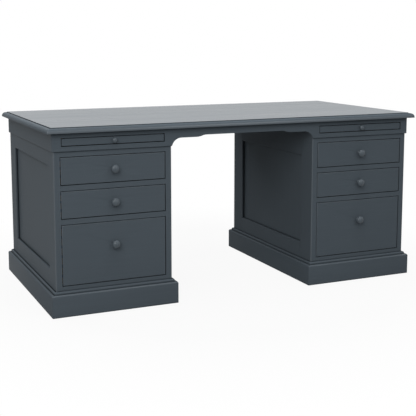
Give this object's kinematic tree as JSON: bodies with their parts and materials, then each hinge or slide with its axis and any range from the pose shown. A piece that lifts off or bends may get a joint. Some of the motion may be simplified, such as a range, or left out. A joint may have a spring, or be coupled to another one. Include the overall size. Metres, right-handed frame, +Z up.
{
  "type": "pedestal desk",
  "caption": "Pedestal desk in painted wood: moulded top, frieze with pull-out slides, shaped kneehole apron, panelled pedestals with flush drawers and round knobs.",
  "frame": {"origin": "on the floor, below the middle of the desk top", "axes": "+X to the right along the width, +Y from the drawer fronts to the back, +Z up"},
  "size_m": [1.77, 0.876, 0.78],
  "materials": {
    "slate_paint": "satin slate paint on wood",
    "drawer_timber": "sealed pale timber",
    "carcass_timber": "bare timber"
  },
  "bodies": {
    "desk": {"back_apron": "slate_paint", "corner_blocks": "carcass_timber", "desk_top": "slate_paint", "frieze_cheeks": "slate_paint", "frieze_sides": "slate_paint", "front_apron": "slate_paint", "left_back_frame": "slate_paint", "left_bottom_board": "carcass_timber", "left_drawer_runners": "carcass_timber", "left_face_frame": "slate_paint", "left_panels": "slate_paint", "left_plinth": "slate_paint", "left_side_frames": "slate_paint", "left_top_board": "carcass_timber", "locating_dowels": "carcass_timber", "right_back_frame": "slate_paint", "right_bottom_board": "carcass_timber", "right_drawer_runners": "carcass_timber", "right_face_frame": "slate_paint", "right_panels": "slate_paint", "right_plinth": "slate_paint", "right_side_frames": "slate_paint", "right_top_board": "carcass_timber", "slide_runners": "carcass_timber"},
    "left_top_drawer": {"left_top_drawer_back": "drawer_timber", "left_top_drawer_bottom": "drawer_timber", "left_top_drawer_front": "slate_paint", "left_top_drawer_knob": "slate_paint", "left_top_drawer_sides": "drawer_timber"},
    "left_middle_drawer": {"left_middle_drawer_back": "drawer_timber", "left_middle_drawer_bottom": "drawer_timber", "left_middle_drawer_front": "slate_paint", "left_middle_drawer_knob": "slate_paint", "left_middle_drawer_sides": "drawer_timber"},
    "left_deep_drawer": {"left_deep_drawer_back": "drawer_timber", "left_deep_drawer_bottom": "drawer_timber", "left_deep_drawer_front": "slate_paint", "left_deep_drawer_knob": "slate_paint", "left_deep_drawer_sides": "drawer_timber"},
    "left_slide": {"left_slide_board": "slate_paint", "left_slide_front": "slate_paint", "left_slide_knob": "slate_paint"},
    "right_top_drawer": {"right_top_drawer_back": "drawer_timber", "right_top_drawer_bottom": "drawer_timber", "right_top_drawer_front": "slate_paint", "right_top_drawer_knob": "slate_paint", "right_top_drawer_sides": "drawer_timber"},
    "right_middle_drawer": {"right_middle_drawer_back": "drawer_timber", "right_middle_drawer_bottom": "drawer_timber", "right_middle_drawer_front": "slate_paint", "right_middle_drawer_knob": "slate_paint", "right_middle_drawer_sides": "drawer_timber"},
    "right_deep_drawer": {"right_deep_drawer_back": "drawer_timber", "right_deep_drawer_bottom": "drawer_timber", "right_deep_drawer_front": "slate_paint", "right_deep_drawer_knob": "slate_paint", "right_deep_drawer_sides": "drawer_timber"},
    "right_slide": {"right_slide_board": "slate_paint", "right_slide_front": "slate_paint", "right_slide_knob": "slate_paint"}
  },
  "joints": [
    {"name": "left_top_drawer_pull", "type": "slide", "parent": "desk", "child": "left_top_drawer", "axis": [0, -1, 0], "range_m": [0, 0.45]},
    {"name": "left_middle_drawer_pull", "type": "slide", "parent": "desk", "child": "left_middle_drawer", "axis": [0, -1, 0], "range_m": [0, 0.45]},
    {"name": "left_deep_drawer_pull", "type": "slide", "parent": "desk", "child": "left_deep_drawer", "axis": [0, -1, 0], "range_m": [0, 0.45]},
    {"name": "left_writing_slide_pull", "type": "slide", "parent": "desk", "child": "left_slide", "axis": [0, -1, 0], "range_m": [0, 0.32]},
    {"name": "right_top_drawer_pull", "type": "slide", "parent": "desk", "child": "right_top_drawer", "axis": [0, -1, 0], "range_m": [0, 0.45]},
    {"name": "right_middle_drawer_pull", "type": "slide", "parent": "desk", "child": "right_middle_drawer", "axis": [0, -1, 0], "range_m": [0, 0.45]},
    {"name": "right_deep_drawer_pull", "type": "slide", "parent": "desk", "child": "right_deep_drawer", "axis": [0, -1, 0], "range_m": [0, 0.45]},
    {"name": "right_writing_slide_pull", "type": "slide", "parent": "desk", "child": "right_slide", "axis": [0, -1, 0], "range_m": [0, 0.32]}
  ]
}
